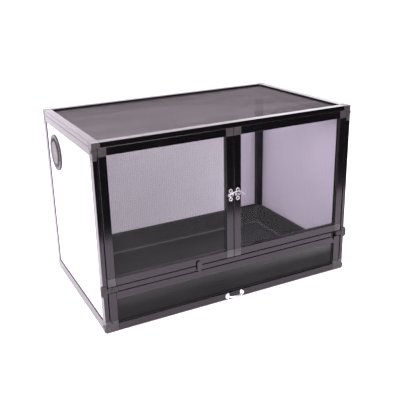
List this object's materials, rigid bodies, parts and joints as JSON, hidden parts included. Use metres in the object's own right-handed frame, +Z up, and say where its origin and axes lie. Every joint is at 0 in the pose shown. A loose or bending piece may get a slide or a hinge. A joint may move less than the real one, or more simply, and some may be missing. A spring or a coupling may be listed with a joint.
{
  "type": "pvc reptile enclosure",
  "caption": "Framed box enclosure with white sheet walls, a mesh top, a mesh door and a glazed door with a hook latch, and a drawer with a tray below them.",
  "frame": {"origin": "under the middle of the whole object, on the surface that it stands on", "axes": "+X to the right of someone who faces the doors, +Y from the doors to the back panel, +Z up; the front looks along -Y"},
  "size_m": [0.609, 0.372, 0.4],
  "materials": {
    "black_aluminium": "gloss black anodised profile",
    "corner_plastic": "satin dark grey moulding",
    "white_pvc": "smooth white sheet",
    "clear_glazing": "clear",
    "black_sheet": "smooth black sheet",
    "tray_plastic": "fine grained formed sheet",
    "mesh_wire": "black coated wire",
    "vent_plastic": "satin grey moulding",
    "silver_metal": "bright cast fitting",
    "button_plastic": "satin black moulding"
  },
  "bodies": {
    "frame": {"back_panel": "white_pvc", "base_panel": "white_pvc", "bottom_corner_front_left": "corner_plastic", "bottom_corner_front_right": "corner_plastic", "bottom_rail_left": "black_aluminium", "bottom_rail_rear": "black_aluminium", "bottom_rail_right": "black_aluminium", "front_sill": "black_aluminium", "mesh_top": "mesh_wire", "mid_bracket_left": "corner_plastic", "mid_bracket_right": "corner_plastic", "mid_rail": "black_aluminium", "post_front_left": "black_aluminium", "post_front_right": "black_aluminium", "post_rear_left": "black_aluminium", "post_rear_right": "black_aluminium", "side_panel_left": "white_pvc", "side_panel_right": "white_pvc", "top_corner_front_left": "corner_plastic", "top_corner_front_right": "corner_plastic", "top_corner_rear_left": "corner_plastic", "top_corner_rear_right": "corner_plastic", "top_rail_front": "black_aluminium", "top_rail_left": "black_aluminium", "top_rail_rear": "black_aluminium", "top_rail_right": "black_aluminium", "vent_cap": "vent_plastic", "vent_flange": "vent_plastic"},
    "left_door": {"latch_plate_left": "silver_metal", "left_door_bottom_meeting_corner": "corner_plastic", "left_door_bottom_outer_corner": "corner_plastic", "left_door_bottom_rail": "black_aluminium", "left_door_meeting_stile": "black_aluminium", "left_door_mesh": "mesh_wire", "left_door_outer_stile": "black_aluminium", "left_door_top_meeting_corner": "corner_plastic", "left_door_top_outer_corner": "corner_plastic", "left_door_top_rail": "black_aluminium"},
    "right_door": {"latch_plate_right": "silver_metal", "right_door_bottom_meeting_corner": "corner_plastic", "right_door_bottom_outer_corner": "corner_plastic", "right_door_bottom_rail": "black_aluminium", "right_door_glazing": "clear_glazing", "right_door_meeting_stile": "black_aluminium", "right_door_outer_stile": "black_aluminium", "right_door_top_meeting_corner": "corner_plastic", "right_door_top_outer_corner": "corner_plastic", "right_door_top_rail": "black_aluminium"},
    "hook": {"latch_hook": "silver_metal"},
    "turn_button": {"turn_button": "button_plastic"},
    "drawer": {"drawer_bottom_rail": "black_aluminium", "drawer_handle": "silver_metal", "drawer_left_corner": "corner_plastic", "drawer_left_stile": "black_aluminium", "drawer_panel": "black_sheet", "drawer_right_corner": "corner_plastic", "drawer_right_stile": "black_aluminium", "drawer_top_rail": "black_aluminium", "drawer_tray": "tray_plastic"}
  },
  "joints": [
    {"name": "left_door_hinge", "type": "hinge", "parent": "frame", "child": "left_door", "pos_m": [-0.286, -0.171, 0.103], "axis": [0, 0, -1], "range_deg": [0, 105]},
    {"name": "right_door_hinge", "type": "hinge", "parent": "frame", "child": "right_door", "pos_m": [0.286, -0.171, 0.103], "axis": [0, 0, 1], "range_deg": [0, 105]},
    {"name": "hook_pivot", "type": "hinge", "parent": "left_door", "child": "hook", "pos_m": [-0.00845, -0.1761, 0.246], "axis": [0, -1, 0], "range_deg": [0, 150]},
    {"name": "turn_button_pivot", "type": "hinge", "parent": "frame", "child": "turn_button", "pos_m": [-0.0866, -0.174, 0.0955], "axis": [0, 1, 0], "range_deg": [0, 90]},
    {"name": "drawer_slide", "type": "slide", "parent": "frame", "child": "drawer", "axis": [0, -1, 0], "range_m": [0, 0.28]}
  ]
}
